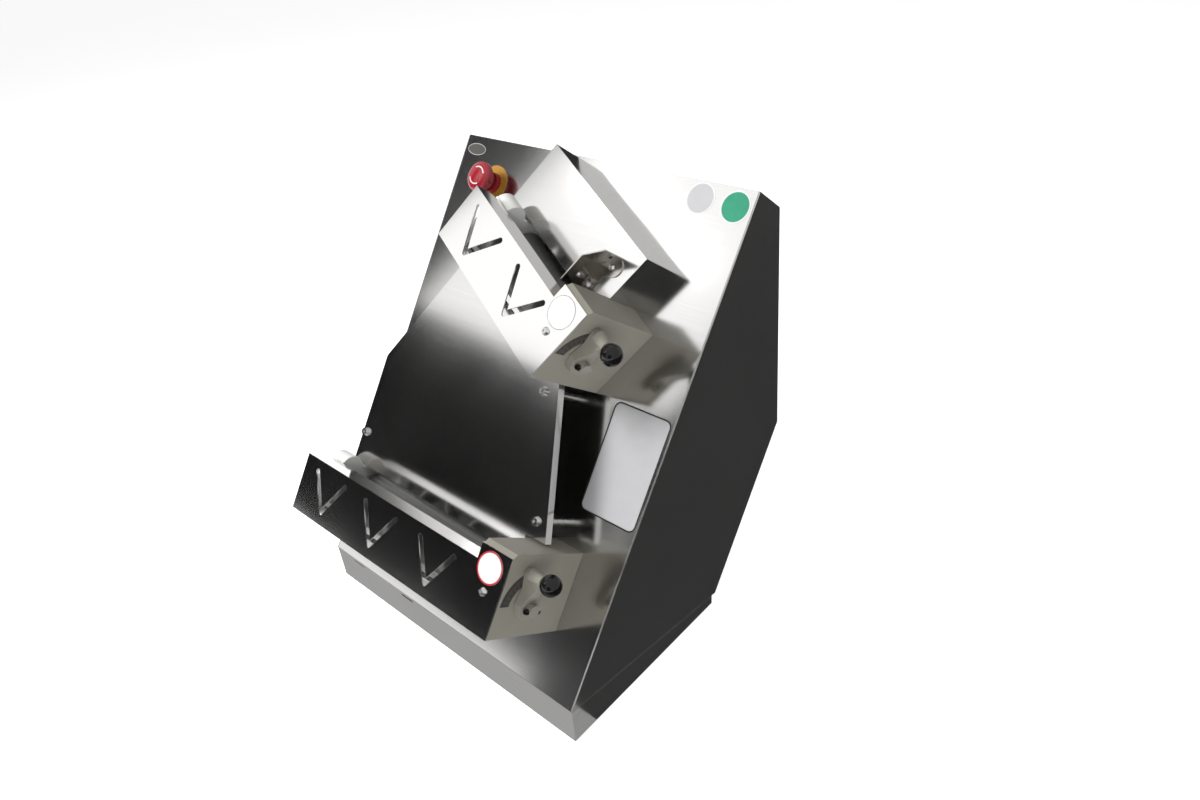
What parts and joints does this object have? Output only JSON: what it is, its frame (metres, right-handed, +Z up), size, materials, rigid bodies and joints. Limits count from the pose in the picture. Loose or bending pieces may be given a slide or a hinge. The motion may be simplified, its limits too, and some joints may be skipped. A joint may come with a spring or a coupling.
{
  "type": "pizza dough roller",
  "caption": "Countertop pizza dough roller: sloping stainless body, tilted upper rollers over a slide plate, lower rollers, side levers and a red stop button.",
  "frame": {"origin": "on the worktop, midway between the four rubber feet", "axes": "+X to the machine's right as its user sees it, +Y from its front to its back, +Z up"},
  "size_m": [0.47, 0.4925, 0.5956],
  "materials": {
    "stainless_sheet": "fine brushed",
    "stainless_guard": "bright polished",
    "steel_parts": "turned",
    "fasteners": "bright",
    "housing_grey": "fine texture, moulded",
    "lever_grey": "powder coat on a casting",
    "roller_white": "smooth turned",
    "block_white": "smooth machined",
    "knob_black": "polished",
    "rubber_black": "matt",
    "bronze": "machined",
    "stop_red": "glossy",
    "legend_yellow": "flat",
    "black_plastic": "moulded",
    "motor_paint": "satin paint",
    "bracket_zinc": "zinc plated",
    "dial_print": "printed plate"
  },
  "bodies": {
    "machine": {"base_tray": "stainless_sheet", "rubber_feet": "rubber_black", "front_panel": "stainless_sheet", "left_side_panel": "stainless_sheet", "right_side_panel": "stainless_sheet", "rear_cover": "stainless_sheet", "rear_cover_screws": "fasteners", "chute_box": "stainless_sheet", "chute_cheek": "stainless_sheet", "chute_fasteners": "fasteners", "slide_plate": "stainless_sheet", "slide_plate_spacers": "steel_parts", "slide_plate_bolts": "fasteners", "guard_screws": "fasteners", "roller_bushes": "bronze", "estop_legend_disc": "legend_yellow", "estop_collar": "stop_red", "estop_contact_block": "black_plastic", "cable_gland": "black_plastic", "gear_motor": "motor_paint", "motor_bracket": "bracket_zinc", "switch_box": "black_plastic", "layshaft_brackets": "bracket_zinc", "lower_belt": "rubber_black", "middle_belt": "rubber_black", "upper_belt": "rubber_black", "lower_guard": "stainless_guard", "lower_housing": "housing_grey", "lower_dial": "dial_print", "lower_end_block": "block_white", "lower_side_plate": "steel_parts", "lower_springs": "steel_parts", "upper_guard": "stainless_guard", "upper_housing": "housing_grey", "upper_dial": "dial_print", "upper_end_block": "block_white", "upper_side_plate": "steel_parts", "upper_springs": "steel_parts"},
    "drive": {"drive_shaft": "steel_parts"},
    "layshaft": {"layshaft": "steel_parts"},
    "lower_rear": {"lower_rear_roller": "roller_white", "lower_rear_gear": "steel_parts", "lower_pulley": "steel_parts"},
    "lower_slide": {"lower_carrier": "steel_parts"},
    "lower_front": {"lower_front_roller": "roller_white", "lower_front_gear": "steel_parts"},
    "lower_handle": {"lower_lever": "lever_grey", "lower_knob": "knob_black", "lower_lever_screw": "fasteners"},
    "upper_rear": {"upper_rear_roller": "roller_white", "upper_rear_gear": "steel_parts", "upper_pulley": "steel_parts"},
    "upper_slide": {"upper_carrier": "steel_parts"},
    "upper_front": {"upper_front_roller": "roller_white", "upper_front_gear": "steel_parts"},
    "upper_handle": {"upper_lever": "lever_grey", "upper_knob": "knob_black", "upper_lever_screw": "fasteners"},
    "stop_stem": {"estop_stem": "black_plastic"},
    "stop_head": {"estop_button": "stop_red"}
  },
  "joints": [
    {"name": "drive_spin", "type": "hinge", "parent": "machine", "child": "drive", "pos_m": [0.15, 0.00194, 0.0998], "axis": [1, 0, 0], "continuous": true},
    {"name": "layshaft_spin", "type": "hinge", "parent": "machine", "child": "layshaft", "pos_m": [0.12424, 0.17877, 0.32018], "axis": [1, 0, 0], "continuous": true},
    {"name": "lower_rear_spin", "type": "hinge", "parent": "machine", "child": "lower_rear", "pos_m": [0, -0.09714, 0.171], "axis": [1, 0, 0], "continuous": true},
    {"name": "lower_lever_turn", "type": "hinge", "parent": "machine", "child": "lower_handle", "pos_m": [0.1765, -0.14099, 0.20251], "axis": [1, 0, 0], "range_deg": [0, 70]},
    {"name": "lower_gap_slide", "type": "slide", "parent": "machine", "child": "lower_slide", "axis": [0, 0.8121, -0.5835], "range_m": [0, 0.0035], "deforming": ["lower_springs"]},
    {"name": "lower_front_spin", "type": "hinge", "parent": "lower_slide", "child": "lower_front", "pos_m": [0, -0.14099, 0.20251], "axis": [1, 0, 0], "continuous": true},
    {"name": "upper_rear_spin", "type": "hinge", "parent": "machine", "child": "upper_rear", "pos_m": [0.01294, 0.10441, 0.45147], "axis": [0.8695, -0.2882, -0.4011], "continuous": true},
    {"name": "upper_lever_turn", "type": "hinge", "parent": "machine", "child": "upper_handle", "pos_m": [0.13641, 0.01963, 0.42602], "axis": [0.8695, -0.2882, -0.4011], "range_deg": [0, 70]},
    {"name": "upper_gap_slide", "type": "slide", "parent": "machine", "child": "upper_slide", "axis": [0, 0.8121, -0.5835], "range_m": [0, 0.0035], "deforming": ["upper_springs"]},
    {"name": "upper_front_spin", "type": "hinge", "parent": "upper_slide", "child": "upper_front", "pos_m": [0.01294, 0.06056, 0.48298], "axis": [0.8695, -0.2882, -0.4011], "continuous": true},
    {"name": "stop_press", "type": "slide", "parent": "machine", "child": "stop_stem", "axis": [0, 0.8121, -0.5835], "range_m": [0, 0.0045], "stiffness_N_per_m": 2000},
    {"name": "stop_twist", "type": "hinge", "parent": "stop_stem", "child": "stop_head", "pos_m": [-0.1592, 0.16558, 0.53832], "axis": [0, 0.8121, -0.5835], "range_deg": [0, 35], "stiffness_Nm_per_rad": 0.06}
  ],
  "couplings": [
    {"joint": "layshaft_spin", "follows": "drive_spin", "ratio": 1},
    {"joint": "lower_rear_spin", "follows": "drive_spin", "ratio": 1},
    {"joint": "lower_lever_turn", "follows": "lower_gap_slide", "rad_per_m": 349.06},
    {"joint": "lower_front_spin", "follows": "drive_spin", "ratio": -1},
    {"joint": "upper_rear_spin", "follows": "drive_spin", "ratio": 1},
    {"joint": "upper_lever_turn", "follows": "upper_gap_slide", "rad_per_m": 349.06},
    {"joint": "upper_front_spin", "follows": "drive_spin", "ratio": -1}
  ]
}
